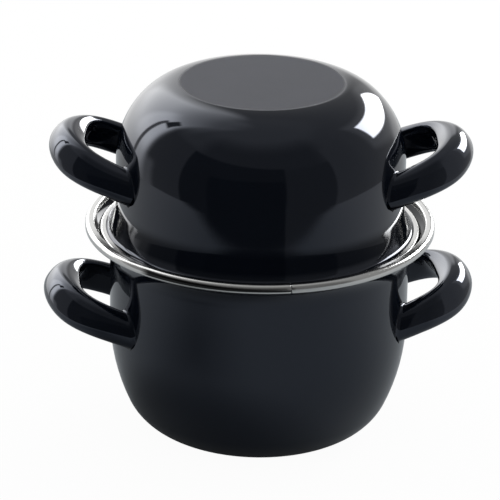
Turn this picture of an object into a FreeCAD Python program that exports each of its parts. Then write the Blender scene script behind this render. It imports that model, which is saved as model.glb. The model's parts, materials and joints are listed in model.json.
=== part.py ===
import FreeCAD, Part
import math
import os

# An enamelled steel mussel pot and the bowl that lids it. Millimetres, +Z up.
# The origin is the middle of the pot's base, and the pot's two handles lie along X.

# Pot shell, measured on its outside
pot_height = 115.6
pot_sheet = 1.2
pot_rim_radius = 92.1
pot_lip_slope = 15.0
pot_lip_lift = 0.45
pot_cove_radius = 16.0
pot_side_radius = 106.7
pot_side_slope = 66.1
pot_corner_radius = 27.5

# Steel band rolled over the pot's lip
pot_band_width = 4.8
pot_band_height = 4.6
pot_band_inner_corner = 1.1
pot_band_outer_corner = 1.7
pot_band_sheet = 0.6
pot_seam_azimuth = -86.0

# Lid shell, measured on its outside
lid_height = 82.0
lid_sheet = 1.2
lid_edge_clearance = 3.1
lid_lip_run = 1.75
lid_lip_bend_radius = 3.0
lid_lip_bend_slope = 64.7
lid_cove_radius = 28.0
lid_side_radius = 45.1
lid_side_slope = 45.4
lid_shoulder_radius = 34.8
lid_shoulder_slope = 10.0
lid_disc_edge_radius = 8.0
lid_turn = -6.1

# Steel band folded round the lid's lip
lid_band_width = 2.9
lid_band_sheet = 0.5
lid_seam_azimuth = 90.0

# Fits
lip_end_gap = 0.5
band_grip = 0.05
rest_gap = 0.05
seam_gap = 0.3

# Loop handles, hollow pressings with a D section
handle_sheet = 1.2
handle_outer_span = 77.7
handle_outer_reach = 36.3
handle_outer_fullness = 2.12
handle_inner_span = 55.8
handle_inner_reach = 20.2
handle_inner_fullness = 4.2
handle_leg_height = 17.6
handle_tip_height = 19.7
handle_inner_share = 0.45
handle_leg_lean = 13.5
handle_tip_lean = 17.5
handle_root = 12.0
handle_stations = 17
outline_steps = 720
pot_handle_drop = 45.9
pot_handle_tilt = 20.3
lid_handle_drop = 44.2
lid_handle_tilt = 21.9

origin = FreeCAD.Vector(0, 0, 0)
upwards = FreeCAD.Vector(0, 0, 1)


def sine(degrees):
    return math.sin(math.radians(degrees))


def cosine(degrees):
    return math.cos(math.radians(degrees))


# Outlines
# A step is (length, None) for a straight run, or (radius, heading) for a bend that ends there.
def trace(start, heading, steps, offset, place):
    """Edges along the steps, moved to the left by offset, and where the plain line ends."""
    edges = []
    x, y = start
    for size, turn_to in steps:
        first = (x - offset * sine(heading), y + offset * cosine(heading))
        if turn_to is None:
            x += size * cosine(heading)
            y += size * sine(heading)
            last = (x - offset * sine(heading), y + offset * cosine(heading))
            edges.append(Part.LineSegment(place(*first), place(*last)).toShape())
            continue
        side = math.copysign(size, turn_to - heading)
        centre_x = x - side * sine(heading)
        centre_y = y + side * cosine(heading)
        reach = side - offset
        halfway = (heading + turn_to) / 2
        middle = (centre_x + reach * sine(halfway), centre_y - reach * cosine(halfway))
        last = (centre_x + reach * sine(turn_to), centre_y - reach * cosine(turn_to))
        edges.append(Part.Arc(place(*first), place(*middle), place(*last)).toShape())
        x = centre_x + side * sine(turn_to)
        y = centre_y - side * cosine(turn_to)
        heading = turn_to
    return edges, (x, y)


def upright(r, z):
    return FreeCAD.Vector(r, 0, z)


def line_between(point_a, point_b):
    return Part.LineSegment(point_a, point_b).toShape()


def first_point(edges):
    return edges[0].Vertexes[0].Point


def last_point(edges):
    return edges[-1].Vertexes[-1].Point


def face_inside(edges):
    return Part.Face(Part.Wire(Part.__sortEdges__(edges)))


def strip(start, heading, steps, near, far, place):
    """Face between two copies of a line, moved to its left by near and by far."""
    near_edges = trace(start, heading, steps, near, place)[0]
    far_edges = trace(start, heading, steps, far, place)[0]
    ends = [line_between(first_point(near_edges), first_point(far_edges)),
            line_between(last_point(near_edges), last_point(far_edges))]
    return face_inside(near_edges + far_edges + ends)


def turned(face):
    return face.revolve(origin, upwards, 360)


def spun(shape, azimuth):
    shape.rotate(origin, upwards, azimuth)
    return shape


def largest_solid(shape):
    return max(shape.Solids, key=lambda solid: solid.Volume)


# Bowls
class Bowl:
    """A drawn shell from its lip over the cove and the wall to its flat foot.

    Depths run from the middle of the rim band to the outside of the foot. The side is 1 for a bowl
    that stands upright and -1 for one that stands upside down.
    """

    def __init__(self, sheet, lip, lip_slope, flare, shoulder, foot_depth, rim_z, side):
        self.sheet = sheet
        self.lip = lip
        self.heading = 180.0 - lip_slope
        self.flare = flare
        self.rim_z = rim_z
        self.side = side
        self.foot_z = rim_z - side * foot_depth
        wall_top = trace(lip, self.heading, flare, 0, self.place)[1]
        self.wall_radius = wall_top[0]
        steps = [(radius, 180.0 - slope) for radius, slope in shoulder]
        wall_foot = trace((0.0, 0.0), 90.0, steps, 0, self.place)[1]
        wall_run = foot_depth - wall_top[1] - wall_foot[1]
        self.steps = flare + [(wall_run, None)] + steps + [(self.wall_radius + wall_foot[0], None)]

    def place(self, r, depth):
        return FreeCAD.Vector(r, 0, self.rim_z - self.side * depth)

    def shell(self):
        return turned(strip(self.lip, self.heading, self.steps, 0, self.sheet, self.place))

    def filled(self):
        """All the room inside the outer surface, for what is welded on to be cut against."""
        edges = trace(self.lip, self.heading, self.steps, 0, self.place)[0]
        top = FreeCAD.Vector(0, 0, first_point(edges).z)
        edges += [line_between(first_point(edges), top), line_between(top, last_point(edges))]
        return turned(face_inside(edges))

    def lip_room(self):
        """The room that the flared lip takes up inside its band."""
        return turned(strip(self.lip, self.heading, self.flare, -band_grip, self.sheet + band_grip,
                            self.place))


def seam(radius, azimuth):
    """A thin upright cutter for the butt joint of a rim band."""
    cutter = Part.makeBox(radius, seam_gap, 2 * pot_height, FreeCAD.Vector(radius / 2, -seam_gap / 2, 0))
    return spun(cutter, azimuth)


# Pot
def make_pot():
    rim_z = pot_height - pot_band_height / 2
    floor_depth = pot_band_height / 2 - pot_band_sheet
    lip = (pot_rim_radius - pot_band_sheet - lip_end_gap, floor_depth - pot_lip_lift)
    flare = [(pot_cove_radius, 90.0)]
    shoulder = [(pot_side_radius, pot_side_slope), (pot_corner_radius, 0.0)]
    return Bowl(pot_sheet, lip, pot_lip_slope, flare, shoulder, rim_z, rim_z, 1)


def pot_band_core(pot, inset):
    """A rounded ring that fills the band's section, drawn in by inset on every side."""
    inner = pot_band_inner_corner - inset
    outer = pot_band_outer_corner - inset
    width = pot_band_width - 2 * inset
    height = pot_band_height - 2 * inset
    steps = [(height - 2 * outer, None), (outer, 180.0), (width - inner - outer, None),
             (inner, 270.0), (height - 2 * inner, None), (inner, 360.0),
             (width - inner - outer, None), (outer, 450.0)]
    start = (pot_rim_radius - inset, pot.rim_z - height / 2 + outer)
    return turned(face_inside(trace(start, 90.0, steps, 0, upright)[0]))


def pot_rim_band(pot):
    """Sheet rolled over the lip: it grips the lip's upper face inside and its lower face outside."""
    tube = pot_band_core(pot, 0).cut(pot_band_core(pot, pot_band_sheet))
    rolled = largest_solid(tube.cut(pot.lip_room()))
    return rolled.cut(seam(pot_rim_radius, pot_seam_azimuth))


# Lid
def lid_band_radius():
    return pot_rim_radius - pot_band_width - lid_edge_clearance


def lid_band_half():
    return lid_sheet / 2 + band_grip + lid_band_sheet


def lid_rim_z(pot):
    """Where the lid band's middle comes to stand when its rounded edge rests on the pot's cove."""
    cove_r = pot.wall_radius + pot_cove_radius
    cove_z = pot.rim_z - pot.lip[1] - pot_cove_radius * cosine(pot_lip_slope)
    across = cove_r - (lid_band_radius() - lid_band_half())
    touch = pot_cove_radius + pot_sheet + lid_band_half() + rest_gap
    return cove_z + math.sqrt(touch ** 2 - across ** 2)


def make_lid(pot):
    rim_z = lid_rim_z(pot)
    lip = (lid_band_radius() - lid_band_half(), lid_sheet / 2)
    flare = [(lid_lip_run, None), (lid_lip_bend_radius, 180.0 - lid_lip_bend_slope),
             (lid_cove_radius, 90.0)]
    shoulder = [(lid_side_radius, lid_side_slope), (lid_shoulder_radius, lid_shoulder_slope),
                (lid_disc_edge_radius, 0.0)]
    return Bowl(lid_sheet, lip, 0.0, flare, shoulder, lid_height - lid_band_half(), rim_z, -1)


def lid_rim_band(lid):
    """Sheet folded round the lip with a half-round edge, open towards the wall."""
    half = lid_band_half()
    leg = lid_band_width - half
    start = (lid_band_radius() - lid_band_width, lid.rim_z - half)
    steps = [(leg, None), (half, 180.0), (leg, None)]
    folded = turned(strip(start, 0.0, steps, 0, lid_band_sheet, upright))
    return folded.cut(seam(lid_band_radius(), lid_seam_azimuth))


# Loop handles
def quarter_oval(start, corner, end):
    """Exact quarter of an ellipse, from start to end, that is tangent to both lines to the corner."""
    curve = Part.BSplineCurve()
    curve.buildFromPolesMultsKnots([start, corner, end], [3, 3], [0, 1], False, 2, [1, math.sqrt(0.5), 1])
    return curve.toShape()


def d_wire(depth, height, inset, place):
    """A smooth D: a longer half oval on the outward side and a shorter one on the inward side."""
    rise = height / 2 - inset
    middle = (handle_inner_share - 0.5) * depth
    outer = depth / 2 - inset
    inner = -outer
    quarters = [
        quarter_oval(place(outer, 0), place(outer, rise), place(middle, rise)),
        quarter_oval(place(middle, rise), place(inner, rise), place(inner, 0)),
        quarter_oval(place(inner, 0), place(inner, -rise), place(middle, -rise)),
        quarter_oval(place(middle, -rise), place(outer, -rise), place(outer, 0)),
    ]
    return Part.Wire(quarters)


def outline(span, reach, fullness):
    """Evenly spaced points of a full round outline in the handle's plane, root to root."""
    fine = []
    for step in range(outline_steps + 1):
        swing = 180.0 * step / outline_steps - 90.0
        u = (reach + handle_root) * max(0.0, cosine(swing)) ** (2 / fullness) - handle_root
        v = math.copysign(span / 2 * abs(sine(swing)) ** (2 / fullness), swing)
        fine.append((u, v))
    walked = [0.0]
    for before, after in zip(fine, fine[1:]):
        walked.append(walked[-1] + math.dist(before, after))
    points = []
    for station in range(handle_stations):
        target = walked[-1] * station / (handle_stations - 1)
        nearest = min(range(len(fine)), key=lambda index: abs(walked[index] - target))
        points.append(fine[nearest])
    return points


def loop_solid(wall_radius, centre_z, tilt, inset):
    """A loop on the +X side, with its sections set between an outer and an inner outline."""
    out = FreeCAD.Vector(cosine(tilt), 0, sine(tilt))
    across = FreeCAD.Vector(0, 1, 0)
    rise = FreeCAD.Vector(-sine(tilt), 0, cosine(tilt))
    at_wall = FreeCAD.Vector(wall_radius, 0, centre_z)
    pairs = list(zip(outline(handle_outer_span, handle_outer_reach, handle_outer_fullness),
                     outline(handle_inner_span, handle_inner_reach, handle_inner_fullness)))
    stub = handle_root + inset
    first = tuple((u - stub, v) for u, v in pairs[0])
    last = tuple((u - stub, v) for u, v in pairs[-1])
    pairs = [first] + pairs + [last]
    wires = []
    for outer, inner in pairs:
        u = (outer[0] + inner[0]) / 2
        v = (outer[1] + inner[1]) / 2
        depth = math.dist(outer, inner)
        outward = (out * (outer[0] - inner[0]) + across * (outer[1] - inner[1])).normalize()
        share = max(0.0, 2 * u / (handle_outer_reach + handle_inner_reach))
        height = handle_leg_height + (handle_tip_height - handle_leg_height) * share
        lean = handle_leg_lean + (handle_tip_lean - handle_leg_lean) * share
        centre = at_wall + out * u + across * v
        width_way = outward * cosine(lean) + rise * sine(lean)
        height_way = rise * cosine(lean) - outward * sine(lean)

        def place(x, y, centre=centre, width_way=width_way, height_way=height_way):
            return centre + width_way * x + height_way * y

        wires.append(d_wire(depth, height, inset, place))
    return Part.makeLoft(wires, True, False)


def loop_handle(bowl, centre_z, tilt, azimuth):
    outside = loop_solid(bowl.wall_radius, centre_z, tilt, 0)
    inside = loop_solid(bowl.wall_radius, centre_z, tilt, handle_sheet)
    return spun(outside.cut(inside), azimuth).cut(bowl.filled())


# Whole part
def build():
    pot = make_pot()
    lid = make_lid(pot)
    pieces = {
        "pot_body": pot.shell(),
        "pot_rim_band": pot_rim_band(pot),
        "lid_bowl": lid.shell(),
        "lid_rim_band": lid_rim_band(lid),
    }
    for side, azimuth in (("right", 0.0), ("left", 180.0)):
        pieces["pot_handle_" + side] = loop_handle(
            pot, pot_height - pot_handle_drop, pot_handle_tilt, azimuth)
        pieces["lid_handle_" + side] = loop_handle(
            lid, lid.foot_z - lid_handle_drop, lid_handle_tilt, azimuth + lid_turn)
    return pieces


os.makedirs("parts", exist_ok=True)
for name, shape in build().items():
    solid = largest_solid(shape)
    print(name, len(shape.Solids), solid.isValid(), round(solid.Volume, 1), solid.BoundBox)
    solid.exportStep("parts/" + name + ".step")
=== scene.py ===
import bisect
import json
import math

import bmesh
import bpy
from mathutils import Matrix, Vector


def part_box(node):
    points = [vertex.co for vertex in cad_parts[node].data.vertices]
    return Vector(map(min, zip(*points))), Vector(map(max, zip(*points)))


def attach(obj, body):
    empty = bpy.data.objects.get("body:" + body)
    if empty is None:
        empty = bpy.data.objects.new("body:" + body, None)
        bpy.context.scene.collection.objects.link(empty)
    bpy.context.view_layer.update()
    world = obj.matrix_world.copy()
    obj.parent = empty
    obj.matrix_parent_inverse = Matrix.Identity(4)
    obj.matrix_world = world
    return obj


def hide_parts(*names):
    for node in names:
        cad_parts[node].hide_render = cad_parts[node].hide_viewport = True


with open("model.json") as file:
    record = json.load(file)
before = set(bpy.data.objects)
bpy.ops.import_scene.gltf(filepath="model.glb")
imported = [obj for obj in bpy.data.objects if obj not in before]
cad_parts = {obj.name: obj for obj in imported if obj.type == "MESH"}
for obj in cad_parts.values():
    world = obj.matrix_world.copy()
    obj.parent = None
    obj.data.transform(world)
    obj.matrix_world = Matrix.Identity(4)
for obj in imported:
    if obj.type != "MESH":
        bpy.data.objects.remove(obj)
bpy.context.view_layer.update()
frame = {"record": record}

# Sizes are in millimetres and are turned into metres where the meshes are made
MM = 0.001
TINY = 1e-6

# Pot shell
POT_SHEET = 1.2
POT_LIP_SLOPE = 15.0
POT_LIP_BELOW_BAND_MIDDLE = 1.25
POT_COVE_RADIUS = 16.0
POT_SHOULDER = ((106.7, 66.1), (27.5, 0.0))
POT_BAND_WIDTH = 4.8
POT_BAND_SHEET = 0.6
POT_BAND_CORNERS = (0.75, 2.3, 1.1)
LIP_END_GAP = 0.5
LIP_CROWN = 0.3
BAND_GRIP = 0.05

# Lid shell
LID_SHEET = 1.2
LID_LIP_RUN = 1.75
LID_LIP_BEND = (3.0, 64.7)
LID_COVE_RADIUS = 28.0
LID_SHOULDER = ((45.1, 45.4), (34.8, 10.0), (8.0, 0.0))
LID_BAND_WIDTH = 2.9
LID_BAND_SHEET = 0.5
LID_TURN = -6.1

# Band joints
SEAM_GAP = 0.3
SEAM_END_SHARES = ((0.0, 0.90), (0.3, 0.97), (1.0, 1.0))
POT_SEAM_AZIMUTH = -86.0
POT_SEAM_EASE = 0.5
LID_SEAM_AZIMUTH = 90.0
LID_SEAM_EASE = 0.3

# Loop handles. An outline is (span, reach, fullness), and fullness 2 is an ellipse
HANDLE_OUTER = (77.7, 35.88, 2.14)
HANDLE_INNER = (55.8, 20.2, 4.2)
HANDLE_HEIGHTS = (17.6, 19.7)
HANDLE_LEANS = (13.5, 17.5)
HANDLE_INNER_SHARE = 0.39
HANDLE_OUTSIDE_FULLNESS = 2.35
HANDLE_INSIDE_FULLNESS = 3.8
HANDLE_ROOT = 12.0
HANDLE_SINK_SHARE = 0.5
HANDLE_WELD = 1.1
POT_HANDLE_DROP = 45.9
POT_HANDLE_TILT = 20.3
LID_HANDLE_DROP = 44.2
LID_HANDLE_TILT = 21.9

# Mesh fineness
ROUND_STEPS = 288
RUN_STEP = 4.0
ARC_STEP = 3.0
ARC_LEAST_PARTS = 4
OUTLINE_STEPS = 1440
HANDLE_STATIONS = 120
HANDLE_CROWDING = 0.2
HANDLE_SIDES = 72
HANDLE_SIDE_SHIFT = 0.5
WALL_HALVINGS = 30
BOWL_SHARP_ANGLE = 50.0
BAND_SHARP_ANGLE = 40.0
HANDLE_SHARP_ANGLE = 60.0

# Camera
CAMERA_TURN = -6.16
CAMERA_ELEVATION = 22.59
CAMERA_ROLL = 0.954
CAMERA_DISTANCE = 1600.0
CAMERA_FOCUS = 3019.2
CAMERA_TARGET = (-4.978, 0.0, 96.922)
PICTURE_SIDE = 500
SENSOR_WIDTH = 36.0


def sine(degrees):
    return math.sin(math.radians(degrees))


def cosine(degrees):
    return math.cos(math.radians(degrees))


# Outlines
def trace(start, heading, steps, offset):
    """Points along straight runs (length, None) and bends (radius, heading), moved left by offset."""
    x, y = start
    points = [(x - offset * sine(heading), y + offset * cosine(heading))]
    for size, turn_to in steps:
        if turn_to is None:
            parts = max(1, round(size / RUN_STEP))
            for part in range(1, parts + 1):
                along = size * part / parts
                points.append((x + along * cosine(heading) - offset * sine(heading),
                               y + along * sine(heading) + offset * cosine(heading)))
            x += size * cosine(heading)
            y += size * sine(heading)
            continue
        side = math.copysign(size, turn_to - heading)
        centre = (x - side * sine(heading), y + side * cosine(heading))
        parts = max(ARC_LEAST_PARTS, math.ceil(abs(turn_to - heading) / ARC_STEP))
        for part in range(1, parts + 1):
            angle = heading + (turn_to - heading) * part / parts
            points.append((centre[0] + (side - offset) * sine(angle),
                           centre[1] - (side - offset) * cosine(angle)))
        x = centre[0] + side * sine(turn_to)
        y = centre[1] - side * cosine(turn_to)
        heading = turn_to
    return points, (x, y)


class Bowl:
    """A shell's outline, with depths from the middle of its band to the outside of its foot."""

    def __init__(self, sheet, lip, lip_slope, flare, shoulder, foot_depth, rim_z, side):
        self.sheet = sheet
        self.lip = lip
        self.heading = 180.0 - lip_slope
        self.rim_z = rim_z
        self.side = side
        wall_top = trace(lip, self.heading, flare, 0)[1]
        self.wall_radius = wall_top[0]
        steps = [(radius, 180.0 - slope) for radius, slope in shoulder]
        wall_foot = trace((0.0, 0.0), 90.0, steps, 0)[1]
        wall_run = foot_depth - wall_top[1] - wall_foot[1]
        self.steps = list(flare) + [(wall_run, None)] + steps
        self.steps.append((self.wall_radius + wall_foot[0], None))
        self.outside = self.line(0.0)

    def line(self, offset):
        """(radius, height) points of the shell, offset towards its inside."""
        points = trace(self.lip, self.heading, self.steps, offset)[0]
        return [(max(r, 0.0), self.rim_z - self.side * depth) for r, depth in points]

    def section(self):
        """The closed outline of the sheet, with a slightly crowned lip."""
        inside = self.line(self.sheet)
        (outer_r, outer_z), (inner_r, inner_z) = self.outside[0], inside[0]
        crown = ((outer_r + inner_r) / 2 + self.sheet * LIP_CROWN, (outer_z + inner_z) / 2)
        return inside[::-1] + [crown] + self.outside

    def distance(self, point):
        """How far a point stands outside the shell, along the radius. Negative inside."""
        wall = self.wall_radius
        for (r1, z1), (r2, z2) in zip(self.outside, self.outside[1:]):
            if min(z1, z2) <= point.z <= max(z1, z2) and abs(z2 - z1) > TINY:
                wall = r1 + (r2 - r1) * (point.z - z1) / (z2 - z1)
                break
        return math.hypot(point.x, point.y) - wall


# Sizes taken from the solids
pot_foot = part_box("pot_body")[0].z / MM
pot_band_low, pot_band_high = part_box("pot_rim_band")
lid_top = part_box("lid_bowl")[1].z / MM
lid_band_low, lid_band_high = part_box("lid_rim_band")

pot_height = pot_band_high.z / MM
pot_rim_radius = pot_band_high.y / MM
pot_band_height = (pot_band_high.z - pot_band_low.z) / MM
pot_rim_z = pot_height - pot_band_height / 2
lid_band_radius = lid_band_high.y / MM
lid_band_half = (lid_band_high.z - lid_band_low.z) / 2 / MM
lid_rim_z = (lid_band_high.z + lid_band_low.z) / 2 / MM


def make_pot():
    lip = (pot_rim_radius - POT_BAND_SHEET - LIP_END_GAP, POT_LIP_BELOW_BAND_MIDDLE)
    return Bowl(POT_SHEET, lip, POT_LIP_SLOPE, [(POT_COVE_RADIUS, 90.0)], POT_SHOULDER,
                pot_rim_z - pot_foot, pot_rim_z, 1)


def make_lid():
    lip = (lid_band_radius - lid_band_half, LID_SHEET / 2)
    flare = [(LID_LIP_RUN, None), (LID_LIP_BEND[0], 180.0 - LID_LIP_BEND[1]), (LID_COVE_RADIUS, 90.0)]
    return Bowl(LID_SHEET, lip, 0.0, flare, LID_SHOULDER, lid_top - lid_rim_z, lid_rim_z, -1)


pot = make_pot()
lid = make_lid()


# Mesh building
def finished(name, verts, faces, sharp_angle):
    """A smooth piece with its normals outwards, creased where faces meet at more than the angle."""
    mesh = bpy.data.meshes.new(name)
    mesh.from_pydata([Vector(v) * MM for v in verts], [], faces)
    soft = bmesh.new()
    soft.from_mesh(mesh)
    bmesh.ops.recalc_face_normals(soft, faces=soft.faces)
    soft.to_mesh(mesh)
    soft.free()
    mesh.shade_smooth()
    mesh.set_sharp_from_angle(angle=math.radians(sharp_angle))
    piece = bpy.data.objects.new(name, mesh)
    bpy.context.scene.collection.objects.link(piece)
    return piece


def revolved(name, section):
    """A closed (radius, height) outline turned round Z. Points on the axis become single vertices."""
    verts = []
    rings = []
    for r, z in section:
        if r < TINY:
            rings.append([len(verts)] * ROUND_STEPS)
            verts.append((0.0, 0.0, z))
            continue
        rings.append(list(range(len(verts), len(verts) + ROUND_STEPS)))
        for step in range(ROUND_STEPS):
            angle = 360.0 * step / ROUND_STEPS
            verts.append((r * cosine(angle), r * sine(angle), z))
    faces = []
    on_axis = section[0][0] < TINY and section[-1][0] < TINY
    pairs = list(zip(rings, rings[1:]))
    if not on_axis:
        pairs.append((rings[-1], rings[0]))
    for ring, after in pairs:
        for step in range(ROUND_STEPS):
            follow = (step + 1) % ROUND_STEPS
            corners = [ring[step], after[step], after[follow], ring[follow]]
            faces.append([corner for place, corner in enumerate(corners)
                          if corner not in corners[:place]])
    return finished(name, verts, faces, BOWL_SHARP_ANGLE)


def band_mesh(name, section, seam_azimuth, seam_radius, seam_ease):
    """A closed outline swept once round with a butt joint whose edges are slightly eased."""
    half_gap = math.degrees(SEAM_GAP / 2 / seam_radius)
    ease = math.degrees(seam_ease / seam_radius)
    middle_r = sum(r for r, z in section) / len(section)
    middle_z = sum(z for r, z in section) / len(section)
    first_end = [(half_gap + ease * part, size) for part, size in SEAM_END_SHARES]
    last_end = [(360.0 - turn, size) for turn, size in reversed(first_end)]
    run = 360.0 - 2 * (half_gap + ease)
    round_way = [(half_gap + ease + run * step / ROUND_STEPS, 1.0) for step in range(1, ROUND_STEPS)]
    stations = first_end + round_way + last_end
    verts = []
    for turn, size in stations:
        angle = seam_azimuth + turn
        for r, z in section:
            ring_r = middle_r + (r - middle_r) * size
            verts.append((ring_r * cosine(angle), ring_r * sine(angle),
                          middle_z + (z - middle_z) * size))
    count = len(section)
    faces = []
    for station in range(len(stations) - 1):
        for place in range(count):
            follow = (place + 1) % count
            faces.append([station * count + place, station * count + follow,
                          (station + 1) * count + follow, (station + 1) * count + place])
    faces.append(list(range(count)))
    last = (len(stations) - 1) * count
    faces.append([last + place for place in reversed(range(count))])
    return finished(name, verts, faces, BAND_SHARP_ANGLE)


def pot_band_section():
    """Rolled sheet, open where the lip enters: from the lip's upper face over the top to its lower face."""
    inner_corner, upper_corner, lower_corner = POT_BAND_CORNERS
    top = pot_height
    bottom = pot_height - pot_band_height
    inner_r = pot_rim_radius - POT_BAND_WIDTH
    cove_r = pot.wall_radius + POT_COVE_RADIUS
    cove_z = pot_rim_z - POT_LIP_BELOW_BAND_MIDDLE - POT_COVE_RADIUS * cosine(POT_LIP_SLOPE)
    upper = POT_COVE_RADIUS + POT_SHEET + BAND_GRIP
    lower = POT_COVE_RADIUS - BAND_GRIP
    inner_foot = cove_z + math.sqrt(upper ** 2 - (cove_r - inner_r) ** 2)
    floor_end = cove_r - math.sqrt(lower ** 2 - (bottom - cove_z) ** 2)
    steps = [(top - inner_corner - inner_foot, None), (inner_corner, 0.0),
             (POT_BAND_WIDTH - inner_corner - upper_corner, None), (upper_corner, -90.0),
             (pot_band_height - upper_corner - lower_corner, None), (lower_corner, -180.0),
             (pot_rim_radius - lower_corner - floor_end, None)]
    outside = trace((inner_r, inner_foot), 90.0, steps, 0.0)[0]
    inside = trace((inner_r, inner_foot), 90.0, steps, -POT_BAND_SHEET)[0]
    return outside + inside[::-1]


def lid_band_section():
    """Sheet folded half round the lip, with two straight legs."""
    leg = LID_BAND_WIDTH - lid_band_half
    start = (lid_band_radius - LID_BAND_WIDTH, lid_rim_z - lid_band_half)
    steps = [(leg, None), (lid_band_half, 180.0), (leg, None)]
    outside = trace(start, 0.0, steps, 0.0)[0]
    inside = trace(start, 0.0, steps, LID_BAND_SHEET)[0]
    return outside + inside[::-1]


# Loop handles
def full_outline(span, reach, fullness):
    """Points (length walked, outwards, across) of a full round outline, root to root."""
    points = []
    walked = 0.0
    for step in range(OUTLINE_STEPS + 1):
        swing = 180.0 * step / OUTLINE_STEPS - 90.0
        u = (reach + HANDLE_ROOT) * max(0.0, cosine(swing)) ** (2 / fullness) - HANDLE_ROOT
        v = math.copysign(span / 2 * abs(sine(swing)) ** (2 / fullness), swing)
        if points:
            walked += math.dist(points[-1][1:], (u, v))
        points.append((walked, u, v))
    return points


outer_outline = full_outline(*HANDLE_OUTER)
inner_outline = full_outline(*HANDLE_INNER)


def outline_at(outline, share):
    """The (outwards, across) point at a share of an outline's length."""
    target = outline[-1][0] * share
    place = bisect.bisect_right(outline, target, key=lambda point: point[0]) - 1
    place = max(0, min(place, len(outline) - 2))
    before, after = outline[place], outline[place + 1]
    part = (target - before[0]) / max(after[0] - before[0], TINY)
    return (before[1] + (after[1] - before[1]) * part,
            before[2] + (after[2] - before[2]) * part)


def handle_point(bowl, centre_z, tilt, share, swing):
    """Point of a +X side loop's skin, at a share of its length and a swing round its section."""
    out = Vector((cosine(tilt), 0, sine(tilt)))
    rise = Vector((-sine(tilt), 0, cosine(tilt)))
    across = Vector((0, 1, 0))
    outer = outline_at(outer_outline, share)
    inner = outline_at(inner_outline, share)
    u = (outer[0] + inner[0]) / 2
    v = (outer[1] + inner[1]) / 2
    depth = math.dist(outer, inner)
    outward = (out * (outer[0] - inner[0]) + across * (outer[1] - inner[1])).normalized()
    part = max(0.0, 2 * u / (HANDLE_OUTER[1] + HANDLE_INNER[1]))
    height = HANDLE_HEIGHTS[0] + (HANDLE_HEIGHTS[1] - HANDLE_HEIGHTS[0]) * part
    lean = HANDLE_LEANS[0] + (HANDLE_LEANS[1] - HANDLE_LEANS[0]) * part
    width_way = outward * cosine(lean) + rise * sine(lean)
    height_way = rise * cosine(lean) - outward * sine(lean)
    middle = (HANDLE_INNER_SHARE - 0.5) * depth
    outside = cosine(swing) > 0
    reach = depth / 2 - middle if outside else depth / 2 + middle
    power = 2 / (HANDLE_OUTSIDE_FULLNESS if outside else HANDLE_INSIDE_FULLNESS)
    x = math.copysign(abs(cosine(swing)) ** power, cosine(swing))
    y = math.copysign(abs(sine(swing)) ** power, sine(swing))
    centre = Vector((bowl.wall_radius, 0, centre_z)) + out * u + across * v
    return centre + width_way * (middle + reach * x) + height_way * (height / 2 * y)


def share_at_wall(bowl, point_at, root):
    """The share of a loop's length at which its skin, followed from a root, leaves the sheet."""
    near = root
    far = 0.5
    for _ in range(WALL_HALVINGS):
        half = (near + far) / 2
        if bowl.distance(point_at(half)) > -HANDLE_SINK_SHARE * bowl.sheet:
            far = half
        else:
            near = half
    return (near + far) / 2


def handle_rail(bowl, centre_z, tilt, swing):
    """Points along one line of a loop's skin, wall to wall, closer together at the roots and tip."""
    def point_at(share):
        return handle_point(bowl, centre_z, tilt, share, swing)

    start = share_at_wall(bowl, point_at, 0.0)
    end = share_at_wall(bowl, point_at, 1.0)
    rail = []
    for station in range(HANDLE_STATIONS + 1):
        part = station / HANDLE_STATIONS
        part -= HANDLE_CROWDING * math.sin(4 * math.pi * part) / (4 * math.pi)
        rail.append(point_at(start + (end - start) * part))
    return rail


def welded(bowl, ring):
    """One ring of a loop's skin, grown by a weld fillet where it comes close to the wall."""
    middle = sum(ring, Vector()) / len(ring)
    grown = []
    for side, point in enumerate(ring):
        gap = bowl.distance(point)
        if gap < HANDLE_WELD:
            away = 1.0 - max(gap, 0.0) / HANDLE_WELD
            grow = HANDLE_WELD * (1.0 - math.sqrt(max(0.0, 1.0 - away ** 2)))
            along = (ring[(side + 1) % len(ring)] - ring[side - 1]).normalized()
            inwards = middle - point
            across = (inwards - along * inwards.dot(along)).normalized()
            point = point - across * grow
        grown.append(point)
    return grown


def loop_handle(name, bowl, centre_z, tilt, azimuth):
    """The loop's skin from wall to wall, with small weld fillets and its ends sunk in the sheet."""
    count = HANDLE_SIDES
    swings = [360.0 * side / count + HANDLE_SIDE_SHIFT for side in range(count)]
    rails = [handle_rail(bowl, centre_z, tilt, swing) for swing in swings]
    turn = Matrix.Rotation(math.radians(azimuth), 3, "Z")
    verts = []
    for ring in zip(*rails):
        verts += [turn @ point for point in welded(bowl, ring)]
    faces = []
    for station in range(HANDLE_STATIONS):
        for side in range(count):
            follow = (side + 1) % count
            faces.append([station * count + side, (station + 1) * count + side,
                          (station + 1) * count + follow, station * count + follow])
    for station, order in ((0, 1), (HANDLE_STATIONS, -1)):
        first = station * count
        verts.append(sum(verts[first:first + count], Vector()) / count)
        for side in range(count):
            pair = [first + side, first + (side + 1) % count]
            faces.append(pair[::order] + [len(verts) - 1])
    return finished(name, verts, faces, HANDLE_SHARP_ANGLE)


# Node trees
WHITE = (1.0, 1.0, 1.0)
UP = (0.0, 1.0)
DOWN = (1.0, 0.0)


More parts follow.
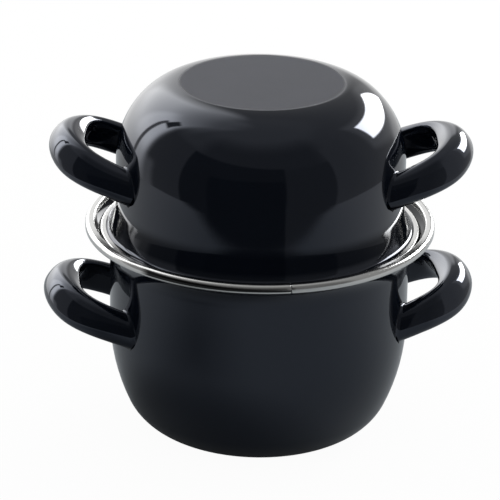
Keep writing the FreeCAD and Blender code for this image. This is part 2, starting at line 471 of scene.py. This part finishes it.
class Tree:
    """A node tree, with short ways to add nodes and to feed them."""

    def __init__(self, owner):
        owner.use_nodes = True
        self.nodes = owner.node_tree.nodes
        self.links = owner.node_tree.links

    def feed(self, socket, value):
        """Give a socket a plain value, or link another node's output to it."""
        if isinstance(value, bpy.types.NodeSocket):
            self.links.new(value, socket)
        else:
            socket.default_value = value

    def feed_all(self, node, inputs):
        for socket, value in inputs.items():
            self.feed(node.inputs[socket], value)

    def add(self, kind, **inputs):
        node = self.nodes.new("ShaderNode" + kind)
        self.feed_all(node, inputs)
        return node

    def calculate(self, operation, *values):
        node = self.nodes.new("ShaderNodeMath")
        node.operation = operation
        self.feed_all(node, dict(enumerate(values)))
        return node.outputs["Value"]

    def product(self, first, *others):
        for other in others:
            first = self.calculate("MULTIPLY", first, other)
        return first

    def vector(self, operation, output, *values):
        node = self.nodes.new("ShaderNodeVectorMath")
        node.operation = operation
        self.feed_all(node, dict(enumerate(values)))
        return node.outputs[output]

    def noise(self, place, scale, detail):
        return self.add("TexNoise", Vector=place, Scale=scale, Detail=detail).outputs["Fac"]

    def turned(self, vector):
        """A vector seen along the viewer's azimuth, with Y straight away from the viewer."""
        node = self.nodes.new("ShaderNodeVectorRotate")
        node.rotation_type = "Z_AXIS"
        self.feed_all(node, {"Vector": vector, "Angle": math.radians(-CAMERA_TURN)})
        return node.outputs["Vector"]

    def span(self, source, levels):
        """A straight change between two levels while the source goes from 0 to 1."""
        node = self.nodes.new("ShaderNodeMapRange")
        self.feed_all(node, {"Value": source, "To Min": levels[0], "To Max": levels[1]})
        return node.outputs["Result"]

    def ramp(self, source, sources, levels):
        """A smooth change between two levels while the source goes between two values."""
        node = self.nodes.new("ShaderNodeMapRange")
        node.interpolation_type = "SMOOTHSTEP"
        self.feed_all(node, {"Value": source, "From Min": sources[0], "From Max": sources[1],
                             "To Min": levels[0], "To Max": levels[1]})
        return node.outputs["Result"]

    def mix(self, factor, first, second):
        """A blend of two numbers."""
        node = self.nodes.new("ShaderNodeMix")
        self.feed_all(node, {"Factor": factor, "A": first, "B": second})
        return node.outputs["Result"]

    def mix_colours(self, factor, first, second):
        node = self.nodes.new("ShaderNodeMix")
        node.data_type = "RGBA"
        self.feed_all(node, {"Factor": factor, "A": first, "B": second})
        return node.outputs["Result"]

    def mix_shaders(self, factor, first, second):
        node = self.nodes.new("ShaderNodeMixShader")
        self.feed_all(node, {0: factor, 1: first.outputs[0], 2: second.outputs[0]})
        return node


def solid(colour, share=1.0):
    """A colour times a share, without see-through."""
    return (*(part * share for part in colour), 1.0)


def record_colour(slot):
    for entry in frame["record"]["materials"]:
        if entry["slot"] == slot:
            return tuple(entry["base_color"])
    raise KeyError(slot)


# Black enamel. Heights and radii are in millimetres, and a pair is where a change begins and ends
ENAMEL_WAVE_SCALE = 60.0
ENAMEL_WAVE_DETAIL = 1.0
ENAMEL_GRAIN_SCALE = 900.0
ENAMEL_GRAIN_DETAIL = 4.0
ENAMEL_SHADE_SPREAD = 1.3
ENAMEL_SHEEN = (0.78, 0.84, 1.0)
ENAMEL_BEND = 1.57
ENAMEL_ROUGHNESS = (0.05, 0.55)
ENAMEL_BUMP = 0.04
ENAMEL_BUMP_HEIGHT = 0.5
DISC_GREY = (0.018, 0.018, 0.023)
DISC_MOTTLE = (0.5, 1.5)
DISC_RADIUS = 42.8
DISC_WAVER = 1.6
DISC_EDGE = (-1.2, 1.4)
DISC_DEPTH = 2.0
# Painted highlight: past these radii the loops' tips mirror more light than the rest of the enamel
PAINTED_TIP_GLINT_RADII = (92.0, 100.0)
PLAIN_AND_PAINTED_TIP_SHEENS = (0.5, 0.72)
# Painted shade in the grooves beside the bands: how much gloss is taken away there, and where
PAINTED_GAP_SHADE_LOSS = 0.46
POT_GAP_HEIGHTS = (103.0, 107.0)
POT_GAP_SLOPES = (0.1, 0.5)
POT_GAP_INSIDE_LID = (-3.0, -1.0)
POT_GAP_TOP = 1.0
LID_GAP_LOW = (113.0, 116.0)
LID_GAP_HIGH = (122.0, 129.0)
LID_GAP_RADII = (62.0, 66.0)
LID_GAP_SHARE = 0.85


def metres(pair, start=0.0):
    return ((start + pair[0]) * MM, (start + pair[1]) * MM)


def disc_mask(tree, wave, radius, height):
    """The matt ground disc on top of the lid, whose edge wavers a little."""
    wavering = tree.calculate("MULTIPLY_ADD", wave, DISC_WAVER * MM, radius)
    edge = metres(DISC_EDGE, DISC_RADIUS + DISC_WAVER / 2)
    high = tree.calculate("GREATER_THAN", height, (lid_top - DISC_DEPTH) * MM)
    return tree.product(tree.ramp(wavering, edge, DOWN), high)


def painted_gap_shade_mask(tree, radius, height):
    """Painted shade in the grooves beside the two bands, where little light comes in."""
    geometry = tree.add("NewGeometry")
    normal = tree.add("SeparateXYZ", Vector=geometry.outputs["Normal"])
    upward = tree.ramp(normal.outputs["Z"], POT_GAP_SLOPES, UP)
    in_pot_gap = tree.ramp(height, metres(POT_GAP_HEIGHTS), UP)
    beside_lid = tree.ramp(radius, metres(POT_GAP_INSIDE_LID, lid_band_radius), UP)
    below_rim = tree.calculate("LESS_THAN", height, (pot_height + POT_GAP_TOP) * MM)
    pot_part = tree.product(in_pot_gap, upward, beside_lid, below_rim)
    over_pot = tree.ramp(height, metres(LID_GAP_LOW), UP)
    near_lip = tree.ramp(height, metres(LID_GAP_HIGH), DOWN)
    outside = tree.ramp(radius, metres(LID_GAP_RADII), UP)
    lid_part = tree.product(over_pot, near_lip, outside, LID_GAP_SHARE)
    return tree.calculate("MAXIMUM", lid_part, pot_part)


def black_enamel():
    """Deep black gloss with the faint waviness of fused glass, and a matt ground foot on the lid."""
    made = bpy.data.materials.new("black_enamel")
    tree = Tree(made)
    place = tree.add("TexCoord").outputs["Object"]
    wave = tree.noise(place, ENAMEL_WAVE_SCALE, ENAMEL_WAVE_DETAIL)
    grain = tree.noise(place, ENAMEL_GRAIN_SCALE, ENAMEL_GRAIN_DETAIL)
    parts = tree.add("SeparateXYZ", Vector=place).outputs
    height = parts["Z"]
    squares = [tree.calculate("POWER", parts[axis], 2.0) for axis in "XY"]
    radius = tree.calculate("SQRT", tree.calculate("ADD", *squares))
    ground = disc_mask(tree, wave, radius, height)

    black = record_colour("black_enamel")
    gloss = tree.mix_colours(wave, solid(black), solid(black, ENAMEL_SHADE_SPREAD))
    mottle = tree.product(tree.calculate("ADD", grain, wave), 0.5)
    disc = tree.mix_colours(mottle, *(solid(DISC_GREY, share) for share in DISC_MOTTLE))
    bump = tree.add("Bump", Height=wave, Strength=ENAMEL_BUMP, Distance=ENAMEL_BUMP_HEIGHT * MM)
    # Painted highlight: the loops' tips mirror more light than the rest of the enamel.
    sheen_with_painted_tip_glint = tree.ramp(radius, metres(PAINTED_TIP_GLINT_RADII), PLAIN_AND_PAINTED_TIP_SHEENS)
    # Painted shade: the gloss is turned down in the grooves beside the bands.
    painted_gap_shade = painted_gap_shade_mask(tree, radius, height)
    sheen = tree.calculate("MULTIPLY_ADD", painted_gap_shade, -PAINTED_GAP_SHADE_LOSS, sheen_with_painted_tip_glint)
    tree.feed_all(tree.nodes["Principled BSDF"], {
        "Base Color": tree.mix_colours(ground, gloss, disc),
        "Roughness": tree.span(ground, ENAMEL_ROUGHNESS),
        "IOR": ENAMEL_BEND,
        "Normal": bump.outputs["Normal"],
        "Specular IOR Level": sheen,
        "Specular Tint": solid(ENAMEL_SHEEN),
    })
    return made


# Bright steel, with painted shade along a groove low on the pot's band. The streak's depths are below the
# top of the pot's band
STEEL_NOISE_SCALE = 220.0
STEEL_NOISE_DETAIL = 2.0
STEEL_ROUGHNESS = (0.14, 0.24)
STREAK_CROWN_DEPTH = 2.2
STREAK_FOOT_DEPTH = 3.35
STREAK_CROWN_EDGE = (-0.5, 0.4)
STREAK_FOOT_EDGE = (-0.1, 0.1)
STREAK_LEAN = 2.0
STREAK_START = -138.0
STREAK_BEGIN = 0.08
PAINTED_GROOVE_SHADE = (0.03, 0.03, 0.03)


def painted_groove_shade_mask(tree, place):
    """Painted shade of a shallow groove: a dark line low on the pot's band, on one side of its joint, which
    slowly thins out.
    """
    parts = tree.add("SeparateXYZ", Vector=place).outputs
    turn = tree.calculate("ARCTAN2", parts["Y"], parts["X"])
    seam = math.radians(POT_SEAM_AZIMUTH)
    start = math.radians(STREAK_START)
    leaning = tree.calculate("MULTIPLY_ADD", turn, STREAK_LEAN * MM, parts["Z"])
    crown = metres(STREAK_CROWN_EDGE, pot_height - STREAK_CROWN_DEPTH + STREAK_LEAN * seam)
    foot = metres(STREAK_FOOT_EDGE, pot_height - STREAK_FOOT_DEPTH)
    below = tree.ramp(leaning, crown, DOWN)
    above = tree.ramp(parts["Z"], foot, UP)
    begun = tree.ramp(turn, (start, start + STREAK_BEGIN), UP)
    ended = tree.calculate("LESS_THAN", turn, seam)
    return tree.product(below, above, begun, ended)


def bright_steel():
    """Rolled stainless strip with a soft sheen."""
    made = bpy.data.materials.new("bright_steel")
    tree = Tree(made)
    place = tree.add("TexCoord").outputs["Object"]
    noise = tree.noise(place, STEEL_NOISE_SCALE, STEEL_NOISE_DETAIL)
    plain = solid(record_colour("bright_steel"))
    tree.feed_all(tree.nodes["Principled BSDF"], {
        # Painted shade along a groove low on the pot's band.
        "Base Color": tree.mix_colours(painted_groove_shade_mask(tree, place), plain, solid(PAINTED_GROOVE_SHADE)),
        "Metallic": 1.0,
        "Roughness": tree.span(noise, STEEL_ROUGHNESS),
    })
    return made


# Pieces
enamel = black_enamel()
steel = bright_steel()


def dress(piece, node, look):
    piece.data.materials.append(look)
    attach(piece, "root")
    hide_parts(node)


dress(revolved("pot_shell", pot.section()), "pot_body", enamel)
dress(revolved("lid_shell", lid.section()), "lid_bowl", enamel)
dress(band_mesh("pot_band", pot_band_section(), POT_SEAM_AZIMUTH, pot_rim_radius, POT_SEAM_EASE),
      "pot_rim_band", steel)
dress(band_mesh("lid_band", lid_band_section(), LID_SEAM_AZIMUTH, lid_band_radius, LID_SEAM_EASE),
      "lid_rim_band", steel)
for side_name, azimuth in (("right", 0.0), ("left", 180.0)):
    dress(loop_handle("pot_loop_" + side_name, pot, pot_height - POT_HANDLE_DROP, POT_HANDLE_TILT, azimuth),
          "pot_handle_" + side_name, enamel)
    dress(loop_handle("lid_loop_" + side_name, lid, lid_top - LID_HANDLE_DROP, LID_HANDLE_TILT,
                      azimuth + LID_TURN),
          "lid_handle_" + side_name, enamel)


# Studio
# Directions are seen from the pot and rise from the horizon. In front, turn 0 is towards the viewer,
# and behind it is straight away from the viewer. Both turns grow to the right.
# A window is (turns, rises, lean, side blur, top blur, level). The lean tips its upper and lower edges.
# Each window lies over the ones before it.
PLAIN_LEVEL = 0.68
STUDIO_LEVEL = 0.42
FRONT_WINDOWS = (
    # dim front, darker in its middle
    ((-400, 400), (-100, 62), 0.0, 20, 20, 0.33),
    ((-62, 62), (-100, 60), 0.0, 24, 24, 0.17),
    # right edge and left edge
    ((61, 100), (-100, 45), 0.0, 4, 4, 0.32),
    ((-110, -66), (-100, 42), 0.0, 6, 6, 0.24),
    ((-109, -94), (-24, 6), 0.0, 8, 8, 0.62),
    # dark room
    ((-66, 20.5), (-100, 35.5), -0.09, 3, 3, 0.065),
    ((-42, 19), (-100, 16), 0.0, 3, 3, 0.038),
    ((20.5, 61), (-100, 30), 0.0, 3, 3, 0.145),
)
BACK_WINDOWS = (
    # right wall
    ((2, 90), (-8, 60), 0.0, 12, 16, 0.34),
    ((12, 72), (0, 34), 0.45, 8, 8, 0.62),
    # table's far edge
    ((-45, 42), (-100, 2), 0.0, 12, 8, 1.00),
    # large soft light at the left, with two darker bars in it
    ((-85, -20), (50, 78), 0.0, 24, 16, 0.75),
    ((-13, 8), (-10, 29), 0.0, 10, 8, 1.20),
    ((-74, -10), (-10, 60), 0.0, 10, 22, 1.80),
    ((-72, -17), (5, 45), 0.0, 8, 20, 3.30),
    ((-71, -44), (12, 42), 0.0, 8, 16, 4.40),
    ((-61.5, -57.5), (-8, 38), 0.0, 2, 3, 0.5),
    ((-70, -61), (35, 46.5), 0.0, 2.5, 3, 0.15),
    # softbox at the right
    ((20, 65), (10.4, 28.8), 0.38, 2, 2, 15.0),
)


def window_mask(tree, turn, rise, turns, rises, lean, side_blur, top_blur):
    middle = math.radians((turns[0] + turns[1]) / 2)
    if lean:
        away = tree.calculate("SUBTRACT", turn, middle)
        rise = tree.calculate("MULTIPLY_ADD", away, -lean, rise)
    limits = ((turn, turns[0], side_blur, UP), (turn, turns[1], side_blur, DOWN),
              (rise, rises[0], top_blur, UP), (rise, rises[1], top_blur, DOWN))
    steps = []
    for source, limit, blur, levels in limits:
        span = (math.radians(limit - blur / 2), math.radians(limit + blur / 2))
        steps.append(tree.ramp(source, span, levels))
    return tree.product(*steps)


def studio_level(tree, direction):
    """The brightness that gloss mirrors from each direction."""
    parts = tree.add("SeparateXYZ", Vector=direction).outputs
    towards = tree.product(parts["Y"], -1.0)
    front_turn = tree.calculate("ARCTAN2", parts["X"], towards)
    back_turn = tree.calculate("ARCTAN2", parts["X"], parts["Y"])
    rise = tree.calculate("ARCSINE", parts["Z"])
    level = STUDIO_LEVEL
    for turn, windows in ((front_turn, FRONT_WINDOWS), (back_turn, BACK_WINDOWS)):
        for *window, strength in windows:
            level = tree.mix(window_mask(tree, turn, rise, *window), level, strength)
    return level


def studio():
    """White to the camera, plain light for matt surfaces, and softboxes and dark flags for gloss."""
    made = bpy.data.worlds.new("studio")
    tree = Tree(made)
    direction = tree.turned(tree.add("TexCoord").outputs["Generated"])
    plain = tree.nodes["Background"]
    tree.feed_all(plain, {"Color": solid(WHITE), "Strength": PLAIN_LEVEL})
    mirrored = tree.add("Background", Color=solid(WHITE), Strength=studio_level(tree, direction))
    white = tree.add("Background", Color=solid(WHITE))
    path = tree.add("LightPath").outputs
    light = tree.mix_shaders(path["Is Glossy Ray"], plain, mirrored)
    seen = tree.calculate("MAXIMUM", path["Is Camera Ray"], path["Is Transmission Ray"])
    whole = tree.mix_shaders(seen, light, white)
    tree.feed(tree.nodes["World Output"].inputs["Surface"], whole.outputs[0])
    bpy.context.scene.world = made


# Table top. Its places are in metres, seen along the viewer's azimuth
FLOOR_RADIUS = 3.0
FLOOR_SIDES = 96
FLOOR_PALE = (0.9, 0.9, 0.9)
FLOOR_GLOW = 0.72
FLOOR_SEEN_GLOW = 0.96
TABLE_GREY = (0.47, 0.50, 0.52)
TABLE_MIDDLE = (0.0, 0.15, 0.0)
TABLE_SPAN = (0.62, 0.51, 1.0)
TABLE_EDGE = (0.98, 1.05)
TABLE_SIDES = (0.18, 0.50)
# Painted shadows of the pot on the table, which the camera doesn't see. Each shade is (middle, radii
# between which it ends)
TABLE_SHADES = (
    ((-0.15, -0.18, 0.0), (-0.03, 0.16)),
    ((-0.05, -0.05, 0.0), (0.03, 0.13)),
)
SHADE_LEVEL = 0.50


def table_colour(tree, place, is_seen):
    """Pale to the camera, and to the enamel a grey table with painted shadows of the pot around its front.
    """
    unshaded = []
    for middle, radii in TABLE_SHADES:
        away = tree.vector("DISTANCE", "Value", place, middle)
        unshaded.append(tree.ramp(away, radii, UP))
    table = tree.mix_colours(tree.product(*unshaded), solid(TABLE_GREY, SHADE_LEVEL), solid(TABLE_GREY))
    return tree.mix_colours(is_seen, table, solid(FLOOR_PALE))


def table_glow(tree, place, is_seen, is_mirrored):
    """How much of the table glows: nearly all of it to the camera, and its far sides to the enamel."""
    sideways = tree.calculate("ABSOLUTE", tree.add("SeparateXYZ", Vector=place).outputs["X"])
    far = tree.ramp(sideways, TABLE_SIDES, (0.0, FLOOR_GLOW))
    return tree.calculate("MAXIMUM", tree.product(is_seen, FLOOR_SEEN_GLOW), tree.product(is_mirrored, far))


def beyond_table(tree, place):
    """One past the rounded edge of the table that the enamel mirrors."""
    shifted = tree.vector("SUBTRACT", "Vector", place, TABLE_MIDDLE)
    scaled = tree.vector("DIVIDE", "Vector", shifted, TABLE_SPAN)
    return tree.ramp(tree.vector("LENGTH", "Value", scaled), TABLE_EDGE, UP)


def floor_material():
    made = bpy.data.materials.new("floor")
    tree = Tree(made)
    tree.nodes.remove(tree.nodes["Principled BSDF"])
    place = tree.turned(tree.add("TexCoord").outputs["Object"])
    path = tree.add("LightPath").outputs
    is_seen, is_mirrored = path["Is Camera Ray"], path["Is Glossy Ray"]
    plain = tree.add("BsdfDiffuse", Color=table_colour(tree, place, is_seen))
    strength = tree.calculate("MAXIMUM", FLOOR_GLOW, is_seen)
    glow = tree.add("Emission", Color=solid(WHITE), Strength=strength)
    lit = tree.mix_shaders(table_glow(tree, place, is_seen, is_mirrored), plain, glow)
    open_to_studio = tree.product(beyond_table(tree, place), is_mirrored)
    whole = tree.mix_shaders(open_to_studio, lit, tree.add("BsdfTransparent"))
    tree.feed(tree.nodes["Material Output"].inputs["Surface"], whole.outputs[0])
    return made


def floor():
    """A plain pale table top."""
    mesh = bpy.data.meshes.new("floor")
    turns = [360 * side / FLOOR_SIDES for side in range(FLOOR_SIDES)]
    verts = [(FLOOR_RADIUS * cosine(turn), FLOOR_RADIUS * sine(turn), 0.0) for turn in turns]
    mesh.from_pydata(verts, [], [list(range(FLOOR_SIDES))])
    mesh.materials.append(floor_material())
    top = bpy.data.objects.new("floor", mesh)
    bpy.context.scene.collection.objects.link(top)


# Lamps, in metres and watts: (name, turn from the viewer, rise, width, height, power)
LAMPS = (
    ("lamp_right", 137, 24, 0.9, 0.5, 8.0),
    ("lamp_left", -140, 35, 1.2, 0.9, 3.0),
)
LAMP_DISTANCE = 1.3
LAMP_TARGET = (0.0, 0.0, 0.1)


def softbox(name, turn, rise, width, height, power):
    """A soft lamp for matt surfaces and shadows. Gloss sees the studio's windows instead."""
    lamp = bpy.data.lights.new(name, "AREA")
    lamp.shape = "RECTANGLE"
    lamp.size = width
    lamp.size_y = height
    lamp.energy = power
    holder = bpy.data.objects.new(name, lamp)
    bpy.context.scene.collection.objects.link(holder)
    turn += CAMERA_TURN
    away = Vector((sine(turn) * cosine(rise), -cosine(turn) * cosine(rise), sine(rise)))
    holder.location = Vector(LAMP_TARGET) + away * LAMP_DISTANCE
    holder.rotation_mode = "QUATERNION"
    holder.rotation_quaternion = (-away).to_track_quat("-Z", "Y")
    holder.visible_camera = False
    holder.visible_glossy = False


floor()
studio()
for lamp_row in LAMPS:
    softbox(*lamp_row)


# Camera
def camera():
    """The photo's view. The focus is in picture points, and the lens is worked out from it."""
    lens = bpy.data.cameras.new("camera")
    lens.sensor_width = SENSOR_WIDTH
    lens.lens = CAMERA_FOCUS * SENSOR_WIDTH / PICTURE_SIDE
    forward = Vector((0.0, cosine(CAMERA_ELEVATION), -sine(CAMERA_ELEVATION)))
    up = Vector((0.0, sine(CAMERA_ELEVATION), cosine(CAMERA_ELEVATION)))
    right = Vector((1.0, 0.0, 0.0))
    rolled_right = right * cosine(CAMERA_ROLL) + up * sine(CAMERA_ROLL)
    rolled_up = up * cosine(CAMERA_ROLL) - right * sine(CAMERA_ROLL)
    place = Vector(CAMERA_TARGET) - forward * CAMERA_DISTANCE
    turn = Matrix.Rotation(math.radians(CAMERA_TURN), 4, "Z")
    facing = Matrix((rolled_right, rolled_up, -forward)).transposed().to_4x4()
    holder = bpy.data.objects.new("camera", lens)
    bpy.context.scene.collection.objects.link(holder)
    holder.matrix_world = turn @ Matrix.Translation(place * MM) @ facing
    bpy.context.scene.camera = holder


camera()
bpy.context.scene.view_settings.view_transform = "Standard"
